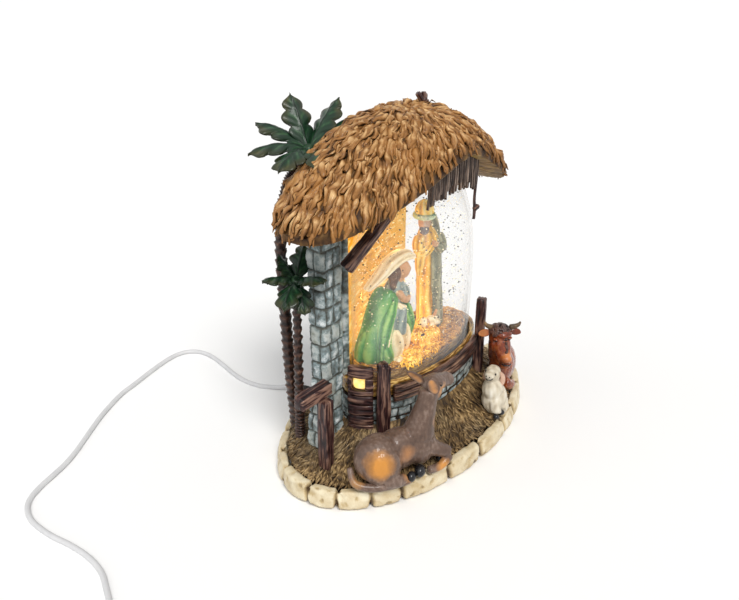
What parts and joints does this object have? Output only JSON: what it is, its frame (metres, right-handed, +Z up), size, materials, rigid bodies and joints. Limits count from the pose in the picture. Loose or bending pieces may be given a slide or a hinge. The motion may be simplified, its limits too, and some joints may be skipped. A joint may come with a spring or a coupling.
{
  "type": "lighted nativity water lantern",
  "caption": "Battery and cord powered table ornament: a water dome with stirred glitter between a stone pillar, timber rail and thatched roof, with figures, animals and palms",
  "frame": {"origin": "middle of the oval base, on the surface it stands on", "axes": "+Z up, +X to the right seen from the front along the base's long axis, front faces -Y"},
  "size_m": [0.4583, 0.3315, 0.2644],
  "materials": {
    "thatch": "hand-painted cast resin, dry-brushed",
    "stone": "hand-painted cast resin, blue-grey stone",
    "border_stone": "hand-painted cast resin, cream stone",
    "ground": "hand-painted cast resin, straw",
    "timber": "hand-painted cast resin, dark wood grain",
    "sill": "hand-painted cast resin, golden brown",
    "trunk": "hand-painted cast resin, dark brown rings",
    "leaf": "hand-painted cast resin, dark green",
    "donkey_coat": "hand-painted cast resin, taupe",
    "wool": "hand-painted cast resin, cream",
    "ox_coat": "hand-painted cast resin, red-brown",
    "green_robe": "painted resin in water",
    "gold_robe": "painted resin in water",
    "swaddling": "painted resin in water",
    "straw": "painted resin in water",
    "clear_acrylic": "clear moulded acrylic, water filled",
    "rubber": "black",
    "black_plastic": "fine texture",
    "circuit_board": "solder mask",
    "steel": "zinc plated",
    "magnet": "dark nickel plate",
    "cell_sleeve": "plain sleeve",
    "lamp_lens": "warm translucent",
    "cord_jacket": "white flexible jacket"
  },
  "bodies": {
    "ornament": {"stone_border": "border_stone", "ground_casting": "ground", "bottom_cover": "black_plastic", "battery_box": "black_plastic", "battery_cell_1": "cell_sleeve", "battery_cell_2": "cell_sleeve", "battery_cell_3": "cell_sleeve", "switch_body": "black_plastic", "circuit_board": "circuit_board", "foot_left_front": "rubber", "foot_left_rear": "rubber", "foot_right_front": "rubber", "foot_right_rear": "rubber", "screw_left_front": "steel", "screw_left_rear": "steel", "screw_right_front": "steel", "screw_right_rear": "steel", "tank_dome": "clear_acrylic", "tank_plug": "clear_acrylic", "tank_gasket": "rubber", "straw_floor": "straw", "drive_bracket": "black_plastic", "motor": "steel", "lamp_board": "steel", "lamp_lens": "lamp_lens", "sill_ring": "sill", "curved_rail": "timber", "fence_panel": "timber", "near_post": "timber", "far_post": "timber", "end_rail": "timber", "end_post": "timber", "stone_pillar": "stone", "back_wall": "stone", "thatch_roof": "thatch", "gable_planks": "timber", "roof_brace": "timber", "ridge_finial": "timber", "hanging_twig": "timber", "tall_palm_trunk": "trunk", "tall_palm_crown": "leaf", "short_palm_trunk": "trunk", "short_palm_crown": "leaf", "donkey": "donkey_coat", "sheep": "wool", "ox": "ox_coat", "kneeling_woman": "green_robe", "standing_man": "gold_robe", "manger": "timber", "child_on_straw": "swaddling", "cord_gland": "rubber", "cord": "cord_jacket", "cord_coil": "cord_jacket", "usb_plug": "black_plastic"},
    "door": {"battery_door": "black_plastic"},
    "knob": {"switch_knob": "rubber"},
    "magnet_rotor": {"drive_magnet": "magnet"},
    "stirrer": {"impeller": "black_plastic"}
  },
  "joints": [
    {"name": "battery_door_hinge", "type": "hinge", "parent": "ornament", "child": "door", "pos_m": [0.0243, 0, 0.0029], "axis": [0, 1, 0], "range_deg": [0, 85]},
    {"name": "switch_slide", "type": "slide", "parent": "ornament", "child": "knob", "axis": [1, 0, 0], "range_m": [0, 0.005]},
    {"name": "motor_spin", "type": "hinge", "parent": "ornament", "child": "magnet_rotor", "pos_m": [0.02, 0, 0.0555], "axis": [0, 0, 1], "continuous": true},
    {"name": "impeller_spin", "type": "hinge", "parent": "ornament", "child": "stirrer", "pos_m": [0.02, 0, 0.0665], "axis": [0, 0, 1], "continuous": true}
  ],
  "couplings": [
    {"joint": "impeller_spin", "follows": "motor_spin", "ratio": 1}
  ]
}
